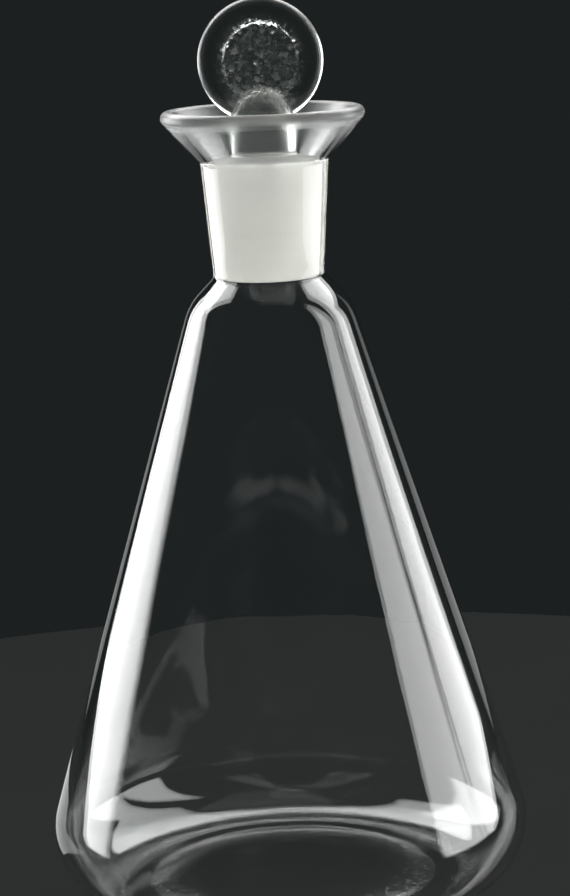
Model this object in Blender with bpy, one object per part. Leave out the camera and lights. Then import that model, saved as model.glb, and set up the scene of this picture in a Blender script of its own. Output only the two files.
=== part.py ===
"""A conical laboratory flask with a ground-glass neck, a flared collar and a flat-headed stopper.

Units are metres and +Z is up. The origin is the middle of the flask's base, on the bench.
The glass has two pieces: the flask, one blown wall from base to rim, and the solid stopper
that sits in the neck's conical ground joint.
"""

import math

import bmesh
import bpy
from mathutils import Matrix, Vector

# Body of the flask, outside
BODY_DIAMETER = 0.105
HEEL_RADIUS = 0.015
PUSH_UP = 0.0022
FOOT_RING_INNER_DIAMETER = 0.064
BODY_WALL = 0.0018

# Shoulder between the cone and the neck
SHOULDER_STEP = 0.0056
SHOULDER_ANGLE = math.radians(45)
SHOULDER_RADIUS = 0.015
INSIDE_SHOULDER_RADIUS = 0.013

# Neck and its conical ground socket
NECK_FOOT_HEIGHT = 0.137
NECK_LENGTH = 0.0243
NECK_FOOT_RADIUS = 0.0012
NECK_WALL_TOP = 0.0018
NECK_WALL_FOOT = 0.0012
SOCKET_MOUTH_DIAMETER = 0.024
JOINT_TAPER = 0.1
MOUTH_RISE = 0.0012
MOUTH_RADIUS = 0.0008

# Flared collar with a fire-polished rim
COLLAR_HEIGHT = 0.0113
COLLAR_FLARE = 0.0081
COLLAR_FOOT_RADIUS = 0.002
RIM_BEAD_RADIUS = 0.0015

# Stopper, with its plug's foot below the neck's, and the rest measured up from the mouth
FIT_GAP = 0.0003
PLUG_PROUD = 0.001
PLUG_END_RADIUS = 0.0009
PLUG_TOP_RISE = 0.0003
PLUG_SHOULDER_RISE = 0.0013
PLUG_SHOULDER_RADIUS = 0.0016
SHANK_DIAMETER = 0.0139
SHANK_FOOT_RADIUS = 0.001
DOME_HEIGHT = 0.009
DOME_TOP = 0.0149
HEAD_DIAMETER = 0.0267
HEAD_FOOT = 0.0068
HEAD_THICKNESS = 0.0055
HEAD_EDGE_RADIUS = 0.0018
HEAD_RECESS_DIAMETER = 0.0178
HEAD_RECESS_DEPTH = 0.0007
HEAD_RECESS_SLOPE = 0.0011

# Heights above the base that follow from the sizes
COLLAR_FOOT_HEIGHT = NECK_FOOT_HEIGHT + NECK_LENGTH
MOUTH_HEIGHT = COLLAR_FOOT_HEIGHT + MOUTH_RISE
RIM_HEIGHT = COLLAR_FOOT_HEIGHT + COLLAR_HEIGHT

# Faceting
TURNS = 48
HEAD_TURNS = 60
ARC_STEP = math.radians(13)
MERGE_DISTANCE = 0.000001
SHARP_ANGLE = math.radians(40)
FILLET_SHARE = 0.49

# Glass, as seen
CLEAR_GLASS = (0.86, 0.90, 0.89, 1.0)
PRESSED_GLASS = (0.84, 0.89, 0.88, 1.0)
GLASS_ROUGHNESS = 0.03
GLASS_METALLIC = 0.0


def arc(centre, radius, start, end):
    """Points on a circle from one angle to another, both ends included."""
    steps = max(2, math.ceil(abs(end - start) / ARC_STEP))
    angles = [start + (end - start) * i / steps for i in range(steps + 1)]
    return [centre + radius * Vector((math.cos(a), math.sin(a))) for a in angles]


def crossing(point_a, along_a, point_b, along_b):
    """Where two straight lines of the profile meet."""
    gap = point_b - point_a
    turn = along_a.x * along_b.y - along_a.y * along_b.x
    return point_a + along_a * ((gap.x * along_b.y - gap.y * along_b.x) / turn)


def tangent_angle(point, centre, radius):
    """The normal's angle where a line from the point touches the circle's outer side."""
    away = point - centre
    return math.atan2(away.y, away.x) - math.acos(radius / away.length)


def fillet(before, corner, after, radius):
    """An arc in place of a corner, no longer than its two straight runs allow."""
    back = (before - corner).normalized()
    on = (after - corner).normalized()
    half = back.angle(on) / 2
    room = min((before - corner).length, (after - corner).length) * FILLET_SHARE
    reach = min(radius / math.tan(half), room)
    turned = reach * math.tan(half)
    centre = corner + (back + on).normalized() * (reach / math.cos(half))
    first = corner + back * reach - centre
    last = corner + on * reach - centre
    start = math.atan2(first.y, first.x)
    sweep = math.remainder(math.atan2(last.y, last.x) - start, math.tau)
    return arc(centre, turned, start, start + sweep)


def rounded(corners):
    """A path through (point, corner radius) pairs, each corner turned with its own arc."""
    path = [corners[0][0]]
    for (before, _), (corner, radius), (after, _) in zip(corners, corners[1:], corners[2:]):
        path += fillet(before, corner, after, radius) if radius else [corner]
    return path + [corners[-1][0]]


def turned_mesh(name, path, turns):
    """A closed mesh made by turning a path, which starts and ends on the axis, round +Z."""
    bm = bmesh.new()
    verts = [bm.verts.new((p.x, 0, p.y)) for p in path]
    edges = [bm.edges.new(pair) for pair in zip(verts, verts[1:])]
    bmesh.ops.spin(
        bm, geom=verts + edges, cent=(0, 0, 0), axis=(0, 0, 1), angle=math.tau, steps=turns, use_merge=True
    )
    bmesh.ops.remove_doubles(bm, verts=bm.verts, dist=MERGE_DISTANCE)
    bmesh.ops.recalc_face_normals(bm, faces=bm.faces)
    mesh = bpy.data.meshes.new(name)
    bm.to_mesh(mesh)
    bm.free()
    mesh.shade_smooth()
    mesh.set_sharp_from_angle(angle=SHARP_ANGLE)
    return mesh


def glass(name, colour):
    """A clear Principled glass in the part's colour."""
    material = bpy.data.materials.new(name)
    material.use_nodes = True
    shader = material.node_tree.nodes["Principled BSDF"]
    shader.inputs["Base Color"].default_value = colour
    shader.inputs["Roughness"].default_value = GLASS_ROUGHNESS
    shader.inputs["Metallic"].default_value = GLASS_METALLIC
    shader.inputs["Transmission Weight"].default_value = 1.0
    return material


def add(name, mesh, height=0.0):
    """A named object on the axis, at a height."""
    piece = bpy.data.objects.new(name, mesh)
    piece.location = (0, 0, height)
    bpy.context.scene.collection.objects.link(piece)
    return piece


def socket_radius(height):
    """The ground socket's bore, as a radius at a height above the base."""
    return (SOCKET_MOUTH_DIAMETER - JOINT_TAPER * (MOUTH_HEIGHT - height)) / 2


def base_cap(thickness):
    """The pushed-up base, from the axis out to the flat foot ring, raised by a wall thickness."""
    foot = FOOT_RING_INNER_DIAMETER / 2
    radius = (foot**2 + PUSH_UP**2) / (2 * PUSH_UP)
    edge = math.asin(foot / radius)
    centre = Vector((0, PUSH_UP - radius))
    crown = [centre + (radius + thickness) * Vector((math.sin(a), math.cos(a))) for a in (0, edge / 2, edge)]
    crown[-1] = Vector((foot, thickness))
    return crown


def heel_arc(centre, radius, lean):
    """The heel from the foot ring up to the cone, with a point of its own at the widest place."""
    return arc(centre, radius, -math.pi / 2, 0)[:-1] + arc(centre, radius, 0, lean)


def flask_path():
    """The flask's wall as one path: up the inside from the floor, over the rim, down the outside."""
    heel = Vector((BODY_DIAMETER / 2 - HEEL_RADIUS, HEEL_RADIUS))
    neck_foot = Vector((socket_radius(NECK_FOOT_HEIGHT) + NECK_WALL_FOOT, NECK_FOOT_HEIGHT))
    down_shoulder = Vector((math.sin(SHOULDER_ANGLE), -math.cos(SHOULDER_ANGLE)))
    shoulder = neck_foot + down_shoulder * (SHOULDER_STEP / math.sin(SHOULDER_ANGLE))
    lean = tangent_angle(shoulder, heel, HEEL_RADIUS)
    outward = Vector((math.cos(lean), math.sin(lean)))
    up_cone = Vector((-math.sin(lean), math.cos(lean)))
    collar_foot = Vector((socket_radius(COLLAR_FOOT_HEIGHT) + NECK_WALL_TOP, COLLAR_FOOT_HEIGHT))
    bead = Vector((collar_foot.x + COLLAR_FLARE - RIM_BEAD_RADIUS, RIM_HEIGHT - RIM_BEAD_RADIUS))
    mouth = Vector((SOCKET_MOUTH_DIAMETER / 2, MOUTH_HEIGHT))

    inside_heel = HEEL_RADIUS - BODY_WALL
    into_wall = Vector((down_shoulder.y, -down_shoulder.x)) * BODY_WALL
    down_socket = Vector((-JOINT_TAPER / 2, -1))
    throat = crossing(mouth, down_socket, neck_foot + into_wall, down_shoulder)
    inside_shoulder = crossing(heel + outward * inside_heel, up_cone, throat, down_shoulder)

    to_mouth = mouth - bead
    to_foot = collar_foot - bead
    inner_touch = math.atan2(to_mouth.y, to_mouth.x) - math.acos(RIM_BEAD_RADIUS / to_mouth.length)
    outer_touch = math.atan2(to_foot.y, to_foot.x) + math.acos(RIM_BEAD_RADIUS / to_foot.length)
    rim = arc(bead, RIM_BEAD_RADIUS, inner_touch % math.tau, outer_touch)

    inside = base_cap(BODY_WALL) + heel_arc(heel, inside_heel, lean)
    inside_neck = rounded(
        [
            (inside[-1], 0),
            (inside_shoulder, INSIDE_SHOULDER_RADIUS),
            (throat, NECK_FOOT_RADIUS),
            (mouth, MOUTH_RADIUS),
            (rim[0], 0),
        ]
    )
    outside = base_cap(0) + heel_arc(heel, HEEL_RADIUS, lean)
    outside_neck = rounded(
        [
            (outside[-1], 0),
            (shoulder, SHOULDER_RADIUS),
            (neck_foot, NECK_FOOT_RADIUS),
            (collar_foot, COLLAR_FOOT_RADIUS),
            (rim[-1], 0),
        ]
    )
    down_outside = outside[:-1] + outside_neck[:-1]
    return inside[:-1] + inside_neck[:-1] + rim + down_outside[::-1]


def stopper_path():
    """Plug, shank and domed end as one path from the plug's foot upwards, with 0 at the mouth."""
    foot = -(MOUTH_HEIGHT - NECK_FOOT_HEIGHT) - PLUG_PROUD
    shank = SHANK_DIAMETER / 2
    shoulder_top = PLUG_TOP_RISE + PLUG_SHOULDER_RISE
    plug_foot = Vector((socket_radius(MOUTH_HEIGHT + foot) - FIT_GAP, foot))
    plug_top = Vector((socket_radius(MOUTH_HEIGHT + PLUG_TOP_RISE) - FIT_GAP, PLUG_TOP_RISE))
    dome_foot = Vector((shank, DOME_TOP - DOME_HEIGHT))
    turned = rounded(
        [
            (Vector((0, foot)), 0),
            (plug_foot, PLUG_END_RADIUS),
            (plug_top, PLUG_SHOULDER_RADIUS),
            (Vector((shank, shoulder_top)), SHANK_FOOT_RADIUS),
            (dome_foot, 0),
        ]
    )
    round_end = arc(Vector((0, 0)), 1, 0, math.pi / 2)
    dome = [Vector((p.x * shank, dome_foot.y + p.y * DOME_HEIGHT)) for p in round_end[1:-1]]
    return turned + dome + [Vector((0, DOME_TOP))]


def head_path():
    """Half of the flat head's outline, from the middle of one face over the edge to the other."""
    radius = HEAD_DIAMETER / 2
    half = HEAD_THICKNESS / 2
    web = half - HEAD_RECESS_DEPTH
    recess = HEAD_RECESS_DIAMETER / 2
    face = [
        (Vector((0, web)), 0),
        (Vector((recess, web)), 0),
        (Vector((recess + HEAD_RECESS_SLOPE, half)), 0),
        (Vector((radius, half)), HEAD_EDGE_RADIUS),
    ]
    other_face = [(Vector((p.x, -p.y)), r) for p, r in face[::-1]]
    return rounded(face + other_face)


def make_flask():
    piece = add("flask", turned_mesh("flask", flask_path(), TURNS))
    piece.data.materials.append(glass("clear_glass", CLEAR_GLASS))


def make_stopper():
    """The turned plug and shank, with the flat head joined on across the domed end."""
    head_mesh = turned_mesh("head_form", head_path(), HEAD_TURNS)
    head_mesh.transform(Matrix.Rotation(math.pi / 2, 4, "X"))
    head = add("head_form", head_mesh, MOUTH_HEIGHT + HEAD_FOOT + HEAD_DIAMETER / 2)
    head.hide_render = True
    head.display_type = "WIRE"
    piece = add("stopper", turned_mesh("stopper", stopper_path(), TURNS), MOUTH_HEIGHT)
    piece.data.materials.append(glass("pressed_glass", PRESSED_GLASS))
    join = piece.modifiers.new("join_head", "BOOLEAN")
    join.operation = "UNION"
    join.solver = "EXACT"
    join.object = head


def main():
    for old in list(bpy.data.objects):
        bpy.data.objects.remove(old)
    make_flask()
    make_stopper()


main()
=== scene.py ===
# %% [markdown]
# # A stoppered conical flask in clear glass
#
# The real object is two pieces of glass. The flask is one blown wall, from a pushed-up base to
# a flared collar, and the stopper is one pressed piece, with a flat round head. Both are ground
# matt where they meet, so the neck looks white. This lesson builds each piece as a surface
# worked out with numpy, gives it a finish made of shader nodes, and lights it as glass wants:
# dark in front, dark behind, and bright at both sides, so that the edges draw the shape.

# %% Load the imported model
import math

import bpy
import numpy as np
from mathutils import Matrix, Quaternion, Vector


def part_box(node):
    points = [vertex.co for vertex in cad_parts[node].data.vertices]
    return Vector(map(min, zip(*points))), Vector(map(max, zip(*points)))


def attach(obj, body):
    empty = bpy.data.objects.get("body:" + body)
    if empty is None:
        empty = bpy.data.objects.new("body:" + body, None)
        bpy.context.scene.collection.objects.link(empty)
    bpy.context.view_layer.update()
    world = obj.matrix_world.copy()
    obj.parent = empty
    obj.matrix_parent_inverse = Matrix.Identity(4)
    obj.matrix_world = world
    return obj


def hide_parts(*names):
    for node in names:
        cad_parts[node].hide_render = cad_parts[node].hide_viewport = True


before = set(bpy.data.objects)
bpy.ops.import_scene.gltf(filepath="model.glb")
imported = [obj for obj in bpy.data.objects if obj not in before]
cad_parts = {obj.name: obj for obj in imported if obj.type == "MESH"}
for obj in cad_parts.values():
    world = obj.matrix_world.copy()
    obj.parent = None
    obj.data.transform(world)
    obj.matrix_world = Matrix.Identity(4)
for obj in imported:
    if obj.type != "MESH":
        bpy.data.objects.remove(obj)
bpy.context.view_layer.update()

# %% [markdown]
# ## Sizes
#
# The model in the frame gives the outside sizes: how wide and tall the flask is, and how high
# the stopper stands. The walls, the ground joint's taper and the roundings are too small to
# read from a box, so they are named here. A glassblower would know them as the drawing's
# sizes. Everything is in metres, and +Z is up.

# %% Sizes of the flask and its ground joint
flask_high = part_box("flask")[1]
stopper_low, stopper_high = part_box("stopper")
body_radius = flask_high.x
rim_height = flask_high.z

heel_radius = 0.015
push_up = 0.0022
foot_ring_inside = 0.032
body_wall = 0.0018

neck_foot_height = 0.137
shoulder_step = 0.0056
shoulder_angle = math.radians(45)
shoulder_radius = 0.015
inside_shoulder_radius = 0.013
neck_foot_radius = 0.0012

joint_taper = 0.1
mouth_radius = 0.012
mouth_rise = 0.0012
collar_height = 0.0113
collar_foot_height = rim_height - collar_height
mouth_height = collar_foot_height + mouth_rise
neck_wall_foot = 0.0012
neck_wall_top = 0.0018
mouth_rounding = 0.0008
collar_foot_rounding = 0.002
collar_flare = 0.0081
rim_bead = 0.0015


def socket_radius(height):
    """The ground bore's radius: it narrows by the taper, on diameter, below the mouth."""
    return mouth_radius - joint_taper * (mouth_height - height) / 2


print(f"flask {2 * body_radius * 1000:.1f} mm wide, rim at {rim_height * 1000:.1f} mm")

# %% [markdown]
# ## Drawing a wall
#
# A piece of turned glass is known by its section: the line that a saw would show if it cut the
# piece in half. It could be drawn by hand as a curve, but a section made of straight runs and
# true arcs is exact at any fineness. Each helper below returns points as an array of
# (radius, height) rows, and joining them gives the section.

# %% Straight runs, arcs and rounded corners
arc_step = math.radians(4)
run_step = 0.0016


def polar(angle):
    """The unit vector at an angle in the section."""
    return np.array([math.cos(angle), math.sin(angle)])


def arc(centre, radius, start, end):
    """Points on a circle: centre plus radius times (cos, sin) of angles from start to end."""
    steps = max(2, math.ceil(abs(end - start) / arc_step))
    angles = np.linspace(start, end, steps + 1)
    return centre + radius * np.stack([np.cos(angles), np.sin(angles)], axis=1)


def run(start, end):
    """Points spread evenly on the straight line from start to end, the ends left out."""
    steps = max(1, math.ceil(np.linalg.norm(end - start) / run_step))
    share = np.arange(1, steps)[:, None] / steps
    return start + share * (end - start)


def fillet(before, corner, after, radius):
    """The arc of a radius that touches both straight runs at a corner."""
    back = (before - corner) / np.linalg.norm(before - corner)
    on = (after - corner) / np.linalg.norm(after - corner)
    half = math.acos(np.clip(back @ on, -1, 1)) / 2
    middle = (back + on) / np.linalg.norm(back + on)
    centre = corner + middle * radius / math.sin(half)
    first = corner + back * radius / math.tan(half) - centre
    last = corner + on * radius / math.tan(half) - centre
    start = math.atan2(first[1], first[0])
    sweep = math.remainder(math.atan2(last[1], last[0]) - start, math.tau)
    return arc(centre, radius, start, start + sweep)


def join(stretches):
    """One section out of stretches, with a straight run filled in between each two."""
    whole = [stretches[0]]
    for stretch in stretches[1:]:
        whole += [run(whole[-1][-1], stretch[0]), stretch]
    return np.concatenate(whole)


def crossing(point_a, along_a, point_b, along_b):
    """Where two straight lines meet, from a point and a direction of each."""
    shares = np.linalg.solve(np.stack([along_a, -along_b], axis=1), point_b - point_a)
    return point_a + shares[0] * along_a


print("a quarter turn takes", len(arc(np.zeros(2), 1, 0, math.pi / 2)) - 1, "steps")

# %% [markdown]
# ## The flask's section
#
# On the real flask the wall is one bubble of glass, so its inside follows its outside at the
# wall's thickness. The cone is the straight line that touches the heel's arc and meets the
# shoulder. The neck's bore is different: it is ground to a standard taper so that any stopper
# of that size seals in it, and the wall outside it only has to be thick enough. The collar is
# opened out with a tool and its rim is melted round.

# %% Corner points of the section
heel = np.array([body_radius - heel_radius, heel_radius])
neck_foot = np.array([socket_radius(neck_foot_height) + neck_wall_foot, neck_foot_height])
down_shoulder = np.array([math.sin(shoulder_angle), -math.cos(shoulder_angle)])
shoulder = neck_foot + down_shoulder * shoulder_step / math.sin(shoulder_angle)
from_heel = shoulder - heel
lean = math.atan2(from_heel[1], from_heel[0]) - math.acos(heel_radius / np.linalg.norm(from_heel))
up_cone = polar(lean + math.pi / 2)
collar_foot = np.array([socket_radius(collar_foot_height) + neck_wall_top, collar_foot_height])
bead = np.array([collar_foot[0] + collar_flare - rim_bead, rim_height - rim_bead])
mouth = np.array([mouth_radius, mouth_height])

inside_heel_radius = heel_radius - body_wall
into_wall = np.array([down_shoulder[1], -down_shoulder[0]]) * body_wall
down_socket = np.array([-joint_taper / 2, -1.0])
throat = crossing(mouth, down_socket, neck_foot + into_wall, down_shoulder)
inside_cone_foot = heel + inside_heel_radius * polar(lean)
inside_shoulder = crossing(inside_cone_foot, up_cone, throat, down_shoulder)
print(f"cone leans {math.degrees(lean):.2f} degrees, throat is {2000 * throat[0]:.1f} mm wide")

# %% The section from the inside floor, over the rim, to the middle of the base
base_steps = 24


def base_cap(thickness):
    """The pushed-up base: a shallow arc from the axis to the foot ring, raised by a thickness."""
    radius = (foot_ring_inside**2 + push_up**2) / (2 * push_up)
    edge = math.asin(foot_ring_inside / radius)
    centre = np.array([0.0, push_up - radius + thickness])
    angles = np.linspace(math.pi / 2, math.pi / 2 - edge, base_steps)
    return centre + radius * np.stack([np.cos(angles), np.sin(angles)], axis=1)


def rim_arc():
    """The rim's bead, from where the collar's inside touches it to where its outside does."""
    to_mouth, to_foot = mouth - bead, collar_foot - bead
    inner = math.atan2(to_mouth[1], to_mouth[0]) - math.acos(rim_bead / np.linalg.norm(to_mouth))
    outer = math.atan2(to_foot[1], to_foot[0]) + math.acos(rim_bead / np.linalg.norm(to_foot))
    return arc(bead, rim_bead, inner % math.tau, outer)


rim = rim_arc()
inside = [
    base_cap(body_wall),
    arc(heel, inside_heel_radius, -math.pi / 2, lean),
    fillet(inside_cone_foot, inside_shoulder, throat, inside_shoulder_radius),
    fillet(inside_shoulder, throat, mouth, neck_foot_radius),
    fillet(throat, mouth, rim[0], mouth_rounding),
]
outside = [
    base_cap(0),
    arc(heel, heel_radius, -math.pi / 2, lean),
    fillet(heel + heel_radius * polar(lean), shoulder, neck_foot, shoulder_radius),
    fillet(shoulder, neck_foot, collar_foot, neck_foot_radius),
    fillet(neck_foot, collar_foot, rim[-1], collar_foot_rounding),
]
up_inside = join(inside + [rim])
down_outside = join(outside + [rim[-1:]])[::-1]
flask_section = np.concatenate([up_inside, down_outside[1:]])
flask_section[[0, -1], 0] = 0
print(f"flask section: {len(flask_section)} points")

# %% [markdown]
# ## Turning a section into a closed mesh
#
# A turned piece could be made with the Screw modifier, but then its walls would be perfectly
# true, and blown glass isn't. Here a grid of turn angles by section points is worked out whole,
# as arrays, so the same formula can add the slow ripples that a hot bubble keeps. The first
# and last rows of the grid lie on the axis, so each of them becomes one point and the shell
# is closed.

# %% From a grid of points to a mesh


def closed_shell(name, rows, row_finish, finishes):
    """A closed mesh from rows of rings. The first and last rows collapse to one point each.

    Point (i, j) joins to (i + 1, j), (i + 1, j + 1) and (i, j + 1), with j wrapping round.
    The rows end on the way down the outside, which turns every face outwards.
    row_finish gives, for each band between two rows, the number of its finish.
    """
    count, turns = rows.shape[:2]
    points = np.concatenate([rows[:1, 0], rows[1:-1].reshape(-1, 3), rows[-1:, 0]])
    ring = np.arange((count - 2) * turns).reshape(count - 2, turns) + 1
    ahead = np.roll(ring, -1, axis=1)
    quads = np.stack([ring[:-1], ring[1:], ahead[1:], ahead[:-1]], axis=2).reshape(-1, 4)
    first = np.stack([np.zeros(turns, int), ring[0], ahead[0]], axis=1)
    last = np.stack([ring[-1], np.full(turns, len(points) - 1), ahead[-1]], axis=1)
    corners = np.concatenate([first.ravel(), quads.ravel(), last.ravel()])
    sizes = np.concatenate([np.full(turns, 3), np.full(len(quads), 4), np.full(turns, 3)])

    mesh = bpy.data.meshes.new(name)
    mesh.vertices.add(len(points))
    mesh.vertices.foreach_set("co", points.astype(np.float32).ravel())
    mesh.loops.add(len(corners))
    mesh.loops.foreach_set("vertex_index", corners)
    mesh.polygons.add(len(sizes))
    mesh.polygons.foreach_set("loop_start", np.concatenate([[0], np.cumsum(sizes)[:-1]]))
    mesh.polygons.foreach_set("material_index", np.repeat(row_finish, turns))
    mesh.polygons.foreach_set("use_smooth", np.ones(len(sizes), bool))
    for finish in finishes:
        mesh.materials.append(finish)
    mesh.update(calc_edges=True)
    mesh.validate()

    flat = points[np.concatenate([first, quads[:, [0, 1, 2]], quads[:, [0, 2, 3]], last])]
    volume = np.einsum("ij,ij->i", flat[:, 0], np.cross(flat[:, 1], flat[:, 2])).sum() / 6
    print(f"{name}: {len(flat)} triangles, {volume * 1e6:.1f} cm3 of glass")
    piece = bpy.data.objects.new(name, mesh)
    bpy.context.scene.collection.objects.link(piece)
    return piece


def smoothstep(low, high, value):
    """0 below low, 1 above high, and an even S-curve between them."""
    share = np.clip((value - low) / (high - low), 0, 1)
    return share * share * (3 - 2 * share)


# %% [markdown]
# ## The finishes
#
# Both pieces are the same clear glass, with two surfaces. Fire-polished glass is smooth and
# shows by what it reflects and bends. Ground glass is covered in tiny pits that scatter light
# every way, so it looks white. Shader nodes could be wired by hand, but sums are easier to
# read as sums, so a small class lets a socket take part in Python arithmetic.

# %% Sockets that do arithmetic


class Level:
    """A number that varies over a surface. Each sum made with it adds one Math node."""

    def __init__(self, finish, socket):
        self.finish, self.socket = finish, socket

    def math(self, operation, *values):
        return self.finish.node("ShaderNodeMath", {"operation": operation}, dict(enumerate(values)))

    def __add__(self, other):
        return self.math("ADD", self, other)

    def __sub__(self, other):
        return self.math("SUBTRACT", self, other)

    def __rsub__(self, other):
        return self.math("SUBTRACT", other, self)

    def __mul__(self, other):
        return self.math("MULTIPLY", self, other)

    __radd__ = __add__
    __rmul__ = __mul__


class Finish:
    """A material under construction: node() adds any node and returns one of its outputs."""

    def __init__(self, name, tree=None):
        self.tree = tree
        if tree is None:
            self.material = bpy.data.materials.new(name)
            self.material.use_nodes = True
            self.tree = self.material.node_tree
            self.shader = self.tree.nodes["Principled BSDF"]
            self.place = self.node("ShaderNodeTexCoord", {}, {}, "Object")

    def node(self, kind, settings, inputs, output=0):
        made = self.tree.nodes.new(kind)
        for setting, value in settings.items():
            setattr(made, setting, value)
        self.feed(made, inputs)
        return Level(self, made.outputs[output])

    def feed(self, made, inputs):
        for key, value in inputs.items():
            if isinstance(value, Level):
                self.tree.links.new(value.socket, made.inputs[key])
            else:
                made.inputs[key].default_value = value

    def noise(self, scale, detail=2.0, stretch=(1, 1, 1)):
        """Noise from 0 to 1, with bumps of about 1 / scale metres, longer where stretch is small."""
        spread = self.node("ShaderNodeMapping", {}, {"Vector": self.place, "Scale": stretch})
        return self.node(
            "ShaderNodeTexNoise", {}, {"Vector": spread, "Scale": scale, "Detail": detail}, "Fac"
        )

    def height(self):
        """The height above the floor, in metres."""
        return self.node("ShaderNodeSeparateXYZ", {}, {"Vector": self.place}, "Z")

    def between(self, low, high, value):
        """0 below low and 1 above high."""
        inputs = {"Value": value, "From Min": low, "From Max": high}
        return self.node("ShaderNodeMapRange", {"interpolation_type": "SMOOTHSTEP"}, inputs)

    def tint(self, share, first, second):
        """A colour on the way from the first to the second, by a share from 0 to 1."""
        ends = {"Factor": share, 6: first, 7: second}
        return self.node("ShaderNodeMix", {"data_type": "RGBA"}, ends, 2)

    def bump(self, height, depth):
        """A bump whose full height is a depth in metres."""
        return self.node("ShaderNodeBump", {}, {"Height": height, "Distance": depth})


# %% Clear glass, with a scuffed foot


def clear_glass():
    """Smooth glass with faint drawn-out waves, and fine scuffs where it stands on benches."""
    glass = Finish("blown_clear_glass")
    waves = glass.noise(90, 2, (1, 1, 0.35))
    scuffs = glass.between(0.45, 0.7, glass.noise(900, 4))
    foot = 1 - glass.between(0.0002, 0.0016, glass.height())
    smear = glass.between(0.4, 0.75, glass.noise(45, 3))
    collar = glass.between(collar_foot_height, rim_height - 0.004, glass.height())
    melted_rim = glass.between(rim_height - 0.0035, rim_height - 0.0022, glass.height())
    inputs = {
        "Base Color": glass.tint(smear, (0.985, 0.995, 0.99, 1), (0.97, 0.985, 0.98, 1)),
        "Roughness": foot * (0.08 + 0.3 * scuffs) + 0.012 * smear + 0.15 * collar + 0.15 * melted_rim,
        "Normal": glass.bump(waves, 0.00003),
    }
    glass.shader.inputs["Transmission Weight"].default_value = 1
    glass.shader.inputs["IOR"].default_value = 1.473
    glass.feed(glass.shader, inputs)
    return glass.material


# %% [markdown]
# ## The stopper's sizes and its glass
#
# The stopper was pressed in a mould while soft. Its glass is thicker and a little greener than
# the flask's, its surface has the mould's soft waves, and both faces of the head have a round
# recess with a pebbled floor that gives a grip. The pebbles could be modelled one by one, but
# they are under a millimetre, so large lumps are left to the mesh and fine ones to a bump.
# The finish has to know where the recess is, so the stopper's sizes come first.

# %% Sizes of the stopper
fit_gap = 0.0003
plug_proud = 0.001
plug_foot = neck_foot_height - plug_proud
plug_top_rise = 0.0003
plug_top = mouth_height + plug_top_rise
plug_shoulder_rise = 0.0013
plug_shoulder = plug_top + plug_shoulder_rise
plug_end_rounding = 0.0009
plug_shoulder_rounding = 0.0016
shank_radius = 0.00695
shank_foot_rounding = 0.001
dome_rise = 0.0149
dome_top = mouth_height + dome_rise
dome_height = 0.009
head_foot = mouth_height + 0.0068
head_radius = (stopper_high.z - head_foot) / 2
head_middle = stopper_high.z - head_radius
head_half = 0.00275
head_edge = 0.0022
head_edge_power = 2.4
recess_radius = 0.0089
recess_depth = 0.0004
recess_slope = 0.0011
print(f"head {2000 * head_radius:.1f} mm across, its middle at {1000 * head_middle:.1f} mm")
print("stopper box in the frame:", [round(1000 * v, 2) for v in (*stopper_low, *stopper_high)])

# %% Pressed glass, for the stopper's head and shank


def pressed_glass():
    """Thick moulded glass: soft waves from the mould, and pebbles in the head's recesses."""
    glass = Finish("pressed_stopper_glass")
    chill = glass.noise(260, 3)
    x = glass.node("ShaderNodeSeparateXYZ", {}, {"Vector": glass.place}, "X")
    up = glass.height() - head_middle
    reach = glass.node("ShaderNodeMath", {"operation": "SQRT"}, {0: x * x + up * up})
    in_recess = 1 - glass.between(recess_radius - 0.001, recess_radius + 0.0024, reach)
    in_stem = 1 - glass.between(dome_top - 0.004, dome_top - 0.001, glass.height())
    at_edge = glass.between(head_radius - 0.0024, head_radius - 0.0008, reach)
    lumps = glass.noise(820, 1.5)
    pebbled = in_recess * (0.1 + 0.25 * glass.between(0.4, 0.8, lumps))
    worn = 0.17 * in_stem + 0.25 * at_edge * (1 - in_stem)
    inputs = {
        "Base Color": glass.tint(chill, (0.9, 0.93, 0.9, 1), (0.86, 0.9, 0.86, 1)),
        "Roughness": 0.04 + 0.06 * chill + pebbled + worn,
        "Normal": glass.bump(0.00006 * chill + 0.0006 * in_recess * lumps, 1.0),
    }
    glass.shader.inputs["Transmission Weight"].default_value = 1
    glass.shader.inputs["IOR"].default_value = 1.5
    glass.feed(glass.shader, inputs)
    return glass.material


# %% [markdown]
# ## Ground glass
#
# The socket and the plug are ground against each other with grit, until they fit. Every pit
# turns the light another way, so the joint is matt and white though nothing in it is white. It
# could be painted white, but then it would look like chalk and stay dark when lit from behind.
# A very rough clear glass scatters the light that passes through it, as the real one does.

# %% Ground glass, on the two faces of the joint


def ground_glass(name, milk):
    """Matt glass: fine pits in rings, as the lap turned, which scatter what passes through."""
    glass = Finish(name)
    pits = glass.noise(5200, 3)
    rings = glass.noise(420, 3, (0.06, 0.06, 1))
    grain = 0.7 * pits + 0.3 * rings
    light = tuple(milk) + (1,)
    dark = tuple(0.97 * part for part in milk) + (1,)
    inputs = {
        "Base Color": glass.tint(glass.between(0.3, 0.7, rings), dark, light),
        "Roughness": 0.75 + 0.2 * grain,
        "Normal": glass.bump(grain, 0.00003),
    }
    glass.shader.inputs["Transmission Weight"].default_value = 1
    glass.shader.inputs["IOR"].default_value = 1.473
    glass.feed(glass.shader, inputs)
    return glass.material


milk_white = (0.99, 0.99, 0.96)
clear = clear_glass()
pressed = pressed_glass()
socket_ground = ground_glass("ground_socket_glass", milk_white)
plug_ground = ground_glass("ground_plug_glass", milk_white)
print("finishes:", [material.name for material in bpy.data.materials])

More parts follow.
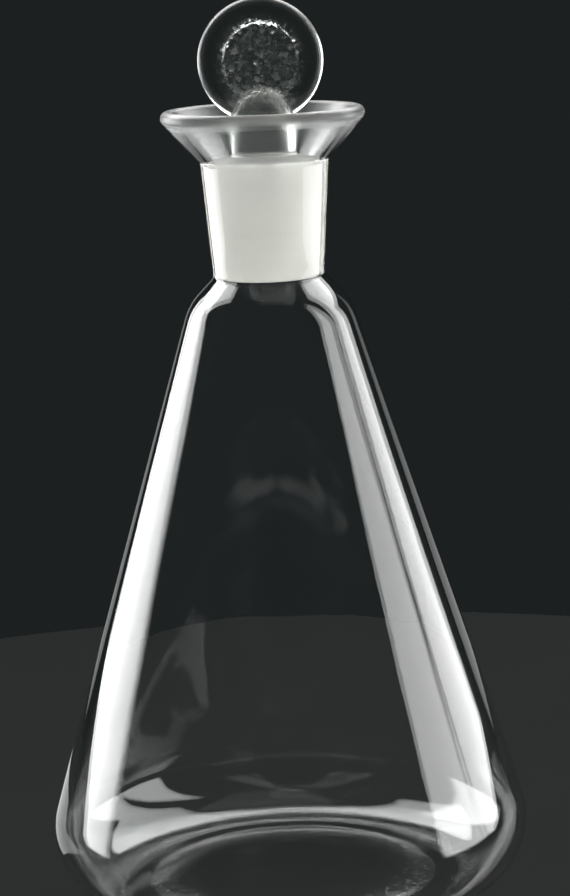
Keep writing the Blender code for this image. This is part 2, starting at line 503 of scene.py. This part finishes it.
# %% [markdown]
# ## The flask
#
# The section is turned about the axis, and a slow ripple is added across the wall. A mould and
# a turning lathe leave waves that run round more than they run up, and a real wall is never
# quite as thick on one side as on the other. The ripple dies away at the ground joint, which
# is cut true, at the rim, and at the ring that the flask stands on.

# %% The ripple in a blown wall
flask_turns = 180
ripple_depth = 0.00005
inside_shift = 2.2
blown_from = (0.004, 0.02)
blown_to = (0.128, 0.1355)


def ripple(angle, height, side):
    """A sum of slow waves round and up the wall, from -1 to 1, different on each side of it."""
    waves = [
        (2, 11.0, 0.3, 0.34),
        (3, 23.0, 1.9, 0.26),
        (5, 37.0, 4.1, 0.2),
        (8, 61.0, 2.7, 0.12),
        (13, 90.0, 5.3, 0.08),
    ]
    total = 0
    for round_count, up_count, start, share in waves:
        total = total + share * np.cos(round_count * angle + up_count * height + start + side)
    return total


def flask_rows():
    """The section turned about Z, each point moved out by the ripple where the wall is blown."""
    angle = np.arange(flask_turns) * math.tau / flask_turns
    radius, height = flask_section[:, :1], flask_section[:, 1:]
    on_inside = np.arange(len(flask_section))[:, None] < len(up_inside)
    blown = smoothstep(*blown_from, height) * (1 - smoothstep(*blown_to, height))
    shift = np.where(on_inside, inside_shift, 0.0)
    out = radius + blown * ripple_depth * ripple(angle, height, shift)
    across = np.cos(angle) * out
    along = np.sin(angle) * out
    return np.stack([across, along, np.broadcast_to(height, out.shape)], axis=2)


# %% The flask as one closed shell
ground_from = throat[1] + 0.0006
ground_to = mouth_height - 0.0003
band_height = (flask_section[1:, 1] + flask_section[:-1, 1]) / 2
band_inside = np.arange(len(band_height)) < len(up_inside) - len(rim)
ground_band = band_inside & (band_height > ground_from) & (band_height < ground_to)
flask_glass = closed_shell(
    "flask_glass", flask_rows(), ground_band.astype(int), [clear, socket_ground]
)
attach(flask_glass, "flask")
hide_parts("flask")

# %% [markdown]
# ## The stopper
#
# The stopper is pressed in a two-part mould. Its plug is a cone ground to the same taper as
# the socket, its shank ends in a low dome, and a flat round head stands on edge out of the
# dome, with a shallow pebbled recess in each face. A Boolean would leave a hard line where the
# head meets the dome, and a mould never does. So the whole stopper is one grid of rings: at
# each height the outline is the round stem and the flat head, blended by adding high powers of
# their depths and taking the root, which rounds the corner between them.

# %% The stem: plug, shank and dome as one line from the middle of the plug's foot


def stem_section():
    """(radius, height) rows from the foot of the plug up to where the dome begins."""
    foot = np.array([socket_radius(plug_foot) - fit_gap, plug_foot])
    top = np.array([socket_radius(plug_top) - fit_gap, plug_top])
    shoulder_end = np.array([shank_radius, plug_shoulder])
    dome_foot = np.array([shank_radius, dome_top - dome_height])
    middle = np.array([0.0, plug_foot])
    stretches = [
        np.array([middle]),
        fillet(middle, foot, top, plug_end_rounding),
        fillet(foot, top, shoulder_end, plug_shoulder_rounding),
        fillet(top, shoulder_end, dome_foot, shank_foot_rounding),
        np.array([dome_foot]),
    ]
    return join(stretches)


head_levels = 150
stem = stem_section()
up_to_head = np.linspace(stem[-1, 1], head_foot, 4)[1:]
turn = np.linspace(-math.pi / 2, math.pi / 2, head_levels)[1:]
levels = np.concatenate([stem[:, 1], up_to_head, head_middle + head_radius * np.sin(turn)])
print(f"{len(levels)} levels from {1000 * levels[0]:.1f} to {1000 * levels[-1]:.1f} mm")

# %% The head's thickness, and the blend with the dome
stopper_turns = 256
blend_power = 7
pebble_depth = 0.0001
faces_apart = 0.004


def pebbles(x, z):
    """Smooth lumps of about a millimetre, from -1 to 1: products of waves at odd angles."""
    total = 0
    for turned, scale, start in [(0.3, 5200, 0.4), (1.4, 6100, 2.2), (2.5, 4700, 3.9)]:
        along = math.cos(turned) * x + math.sin(turned) * z
        across = math.cos(turned) * z - math.sin(turned) * x
        total = total + np.sin(scale * along + start) * np.sin(0.83 * scale * across + 2 * start)
    return total / 3


def head_depth(x, z, side):
    """Half the head's thickness at (x, z), 0 outside it: a rounded edge, a ring and a recess.

    The edge is the root of 1 less a power of the way out. The two faces take their pebbles from
    places a little apart, so that they differ.
    """
    reach = np.hypot(x, z - head_middle)
    edge = np.clip((reach - head_radius + head_edge) / head_edge, 0, 1)
    round_off = (1 - edge**head_edge_power) ** (1 / head_edge_power)
    into = 1 - smoothstep(recess_radius - recess_slope, recess_radius, reach)
    pebbled = into * pebble_depth * pebbles(x + side * faces_apart, z)
    return np.where(reach < head_radius, head_half * round_off - into * recess_depth + pebbled, 0)


def stem_radius(level):
    """The stem's radius at each level: the turned section, then the dome's ellipse."""
    up_dome = np.clip((level - (dome_top - dome_height)) / dome_height, 0, 1)
    dome = shank_radius * np.sqrt(1 - up_dome**2)
    return np.concatenate([stem[:, 0], dome[len(stem):]])


def stopper_rows():
    """Rings at each level, x = width times cos, and y the blended depth of stem and head."""
    angle = np.arange(stopper_turns) * math.tau / stopper_turns
    level = levels[:, None]
    round_stem = stem_radius(levels)[:, None]
    half_head = np.sqrt(np.clip(head_radius**2 - (level - head_middle) ** 2, 0, None))
    wide = np.maximum(round_stem, np.where(level > head_foot, half_head, 0))
    x = wide * np.cos(angle)
    side = np.sign(np.round(np.sin(angle), 9))
    stem_depth = np.sqrt(np.clip(round_stem**2 - x**2, 0, None))
    flat_depth = head_depth(x, level, side)
    depth = (stem_depth**blend_power + flat_depth**blend_power) ** (1 / blend_power)
    return np.stack([x, side * depth, np.broadcast_to(level, x.shape)], axis=2)


# %% The stopper as one closed shell, from its top down
ground_top = plug_shoulder - 0.0002
band_level = (levels[1:] + levels[:-1]) / 2
plug_ground_band = band_level < ground_top
stopper_glass = closed_shell(
    "stopper_glass", stopper_rows()[::-1], plug_ground_band[::-1].astype(int), [pressed, plug_ground]
)
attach(stopper_glass, "stopper")
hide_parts("stopper")

# %% [markdown]
# ## The camera
#
# The view is from a little above the rim and close by, as a person at the bench would see it,
# through a long lens. The camera leans by about two degrees, so that the flask leans to the
# left in the frame.

# %% Place and aim the camera
camera_place = Vector((0.0, -0.6, 0.215))
camera_aim = Vector((0.002, 0.0, 0.0987))
camera_lean = math.radians(2.27)
lens = 112.7

camera_data = bpy.data.cameras.new("camera")
camera_data.lens = lens
camera_data.sensor_width = 36
camera = bpy.data.objects.new("camera", camera_data)
bpy.context.scene.collection.objects.link(camera)
camera.location = camera_place
look = (camera_aim - camera_place).to_track_quat("-Z", "Y")
camera.rotation_mode = "QUATERNION"
camera.rotation_quaternion = look @ Quaternion((0, 0, 1), -camera_lean)
bpy.context.scene.camera = camera
print("camera", [round(v, 3) for v in camera.location])

# %% [markdown]
# ## The stage and the light
#
# Clear glass has no colour of its own to light. It is drawn by the bright things that it
# mirrors and bends at its sides, and it reads best against the dark. So the room is nearly
# black, and tall soft boxes stand at the sides, a little behind the flask. The right-hand light
# is made of two boxes, with a dim seam between them, as a window's bar would give. High boxes
# behind, above what the camera sees through the glass, shine through the ground joint and make
# it white. Small cards give the outline and the lower heel a thin bright edge.
#
# The same boxes would also light the floor through the glass, so the floor is lit apart. The
# floor sees neither the boxes nor the two pieces, and one weak light from above makes it a pale
# floor in a dim room. A floor that saw everything would be more real, but it would be far
# brighter, and the edges of the glass would be lost on it.

# %% A pale floor
floor_radius = 0.24
floor_sides = 128
floor_angle = np.arange(floor_sides) * math.tau / floor_sides
floor_mesh = bpy.data.meshes.new("floor")
floor_points = np.stack(
    [floor_radius * np.cos(floor_angle), floor_radius * np.sin(floor_angle), 0 * floor_angle], axis=1
)
floor_mesh.from_pydata(floor_points.tolist(), [], [list(range(floor_sides))])
floor = bpy.data.objects.new("floor", floor_mesh)
bpy.context.scene.collection.objects.link(floor)

pale = Finish("pale_floor")
pale.feed(
    pale.shader,
    {
        "Base Color": pale.tint(pale.noise(14, 3), (0.6, 0.61, 0.6, 1), (0.68, 0.68, 0.67, 1)),
        "Roughness": 0.75,
        "Specular IOR Level": 0.0,
    },
)
floor_mesh.materials.append(pale.material)
print("floor", 2 * floor_radius, "m across")

# %% A dark room
room = bpy.data.worlds.new("dark_room")
room.use_nodes = True
room.node_tree.nodes["Background"].inputs["Color"].default_value = (0.012, 0.0145, 0.0145, 1)
room.node_tree.nodes["Background"].inputs["Strength"].default_value = 1
bpy.context.scene.world = room
bpy.context.scene.view_settings.view_transform = "Standard"
print("view transform", bpy.context.scene.view_settings.view_transform)

# %% Soft boxes


def fade_edges(lamp, share):
    """Lets a lamp's light die away over a share of its width at each side."""
    lamp.use_nodes = True
    face = Finish(lamp.name, lamp.node_tree)
    # Parametric gives two of the face's corner weights, and 1 less both runs across its width.
    corners = face.node("ShaderNodeNewGeometry", {}, {}, "Parametric")
    first = face.node("ShaderNodeSeparateXYZ", {}, {"Vector": corners}, "X")
    second = face.node("ShaderNodeSeparateXYZ", {}, {"Vector": corners}, "Y")
    across = 1 - first - second
    glow = face.between(0, share, across) * face.between(0, share, 1 - across)
    face.feed(lamp.node_tree.nodes["Emission"], {"Strength": glow})


def soft_box(name, place, target, width, tall, radiance, fade=0.0):
    """A rectangular light at a place, facing a target, as bright all over as its radiance."""
    lamp = bpy.data.lights.new(name, "AREA")
    lamp.shape = "RECTANGLE"
    lamp.size, lamp.size_y = width, tall
    lamp.energy = radiance * math.pi * width * tall
    if fade:
        fade_edges(lamp, fade)
    box = bpy.data.objects.new(name, lamp)
    bpy.context.scene.collection.objects.link(box)
    box.location = place
    box.rotation_mode = "QUATERNION"
    box.rotation_quaternion = (Vector(target) - Vector(place)).to_track_quat("-Z", "Y")
    box.visible_camera = False
    box.visible_diffuse = False
    return box


def beside(degrees, distance, height):
    """A place round the flask: 0 degrees is the camera's side, and plus is to its right."""
    azimuth = math.radians(degrees)
    return (math.sin(azimuth) * distance, -math.cos(azimuth) * distance, height)


def side_box(name, first, last, distance, high, radiance, fade):
    """An upright box from the floor up, which fills the azimuths from first to last."""
    width = 2 * distance * math.tan(math.radians(abs(last - first) / 2))
    place = beside((first + last) / 2, distance, high / 2)
    return soft_box(name, place, (0, 0, high / 2), width, high, radiance, fade)


# %% Tall boxes at the sides, and high ones behind
side_box("left_box", -92, -143, distance=0.6, high=1.0, radiance=5.4, fade=0.12)
side_box("right_box", 73, 104, distance=0.6, high=1.0, radiance=4.4, fade=0.1)
side_box("right_rear_box", 102, 131, distance=0.6, high=1.0, radiance=4.5, fade=0.1)
flask_middle = (0, 0, 0.15)
for name, azimuth in (("left_high_box", -143), ("right_high_box", 143)):
    high_place = beside(azimuth, distance=0.58, height=0.66)
    soft_box(name, high_place, flask_middle, width=0.7, tall=0.5, radiance=4.4)
soft_box("rear_top_box", (0.0, 0.45, 0.6), flask_middle, width=0.8, tall=0.4, radiance=1.5)

# %% Small cards, which the glass's own surface mirrors but which aren't seen through it
low_place, straight_up = (-0.1, 0.06, 0.002), (-0.1, 0.06, 1)
cards = [
    side_box("left_rear_card", -143, -162, distance=0.27, high=0.3, radiance=0.4, fade=0.1),
    side_box("right_rear_card", 136, 158, distance=0.27, high=0.3, radiance=0.5, fade=0.2),
    soft_box("left_low_card", low_place, straight_up, width=0.07, tall=0.1, radiance=0.9),
]
for card in cards:
    card.visible_transmission = False
print("cards:", [card.name for card in cards])

# %% A weak light for the floor, with the glass left out of what the floor sees
above_floor = (0.1, 0.0, 0.9)
floor_light = soft_box("floor_light", above_floor, (0, 0, 0), width=0.5, tall=0.5, radiance=0.35)
floor_light.visible_diffuse = True
flask_glass.visible_diffuse = False
stopper_glass.visible_diffuse = False
print("lights:", sorted(light.name for light in bpy.data.lights))
